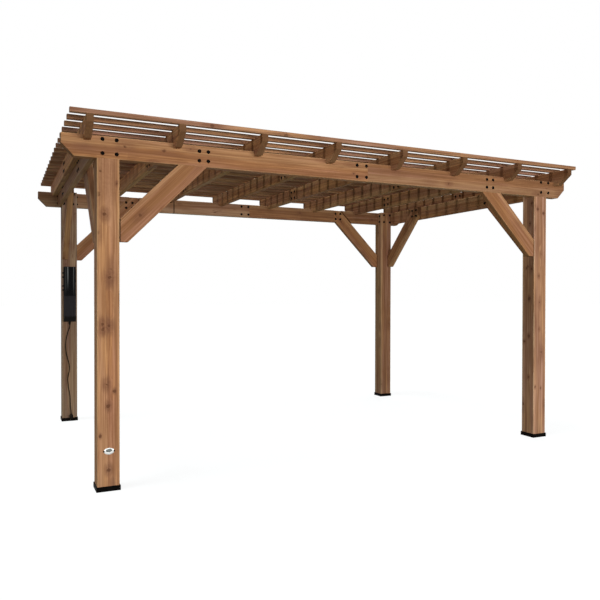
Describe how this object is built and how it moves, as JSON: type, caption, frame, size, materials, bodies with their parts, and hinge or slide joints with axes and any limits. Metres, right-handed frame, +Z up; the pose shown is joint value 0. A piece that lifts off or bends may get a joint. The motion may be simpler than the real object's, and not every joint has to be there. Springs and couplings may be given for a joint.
{
  "type": "wooden garden pergola",
  "caption": "Free-standing timber pergola with posts in boots, half-lapped long beams, knee braces, lapped and notched rafters, an open slat roof and a power box with a cord.",
  "frame": {"origin": "on the ground, at the middle of the four posts", "axes": "+X along the long beams to the right as seen from the front, +Y from front to rear, +Z up"},
  "size_m": [4.267, 2.954, 2.386],
  "materials": {
    "post_timber": "stained softwood, satin",
    "beam_timber": "stained softwood, satin",
    "brace_timber": "stained softwood, satin",
    "rafter_timber": "stained softwood, satin",
    "slat_timber": "stained softwood, satin",
    "boot_black": "black powder coat",
    "box_black": "moulded black plastic",
    "cord_black": "black cord jacket"
  },
  "bodies": {
    "root": {"front_left_post": "post_timber", "front_right_post": "post_timber", "rear_left_post": "post_timber", "rear_right_post": "post_timber", "front_left_boot": "boot_black", "front_right_boot": "boot_black", "rear_left_boot": "boot_black", "rear_right_boot": "boot_black", "front_beam_left": "beam_timber", "front_beam_right": "beam_timber", "rear_beam_left": "beam_timber", "rear_beam_right": "beam_timber", "left_side_beam": "beam_timber", "right_side_beam": "beam_timber", "front_left_long_brace": "brace_timber", "front_right_long_brace": "brace_timber", "rear_left_long_brace": "brace_timber", "rear_right_long_brace": "brace_timber", "front_left_side_brace": "brace_timber", "front_right_side_brace": "brace_timber", "rear_left_side_brace": "brace_timber", "rear_right_side_brace": "brace_timber", "rafter_1_front": "rafter_timber", "rafter_1_rear": "rafter_timber", "rafter_2_front": "rafter_timber", "rafter_2_rear": "rafter_timber", "rafter_3_front": "rafter_timber", "rafter_3_rear": "rafter_timber", "rafter_4_front": "rafter_timber", "rafter_4_rear": "rafter_timber", "rafter_5_front": "rafter_timber", "rafter_5_rear": "rafter_timber", "rafter_6_front": "rafter_timber", "rafter_6_rear": "rafter_timber", "rafter_7_front": "rafter_timber", "rafter_7_rear": "rafter_timber", "rafter_8_front": "rafter_timber", "rafter_8_rear": "rafter_timber", "slats_1_to_9": "slat_timber", "slats_10_to_18": "slat_timber", "power_box": "box_black", "power_cover": "box_black", "cord_gland": "cord_black", "cord": "cord_black", "plug": "cord_black"}
  },
  "joints": []
}
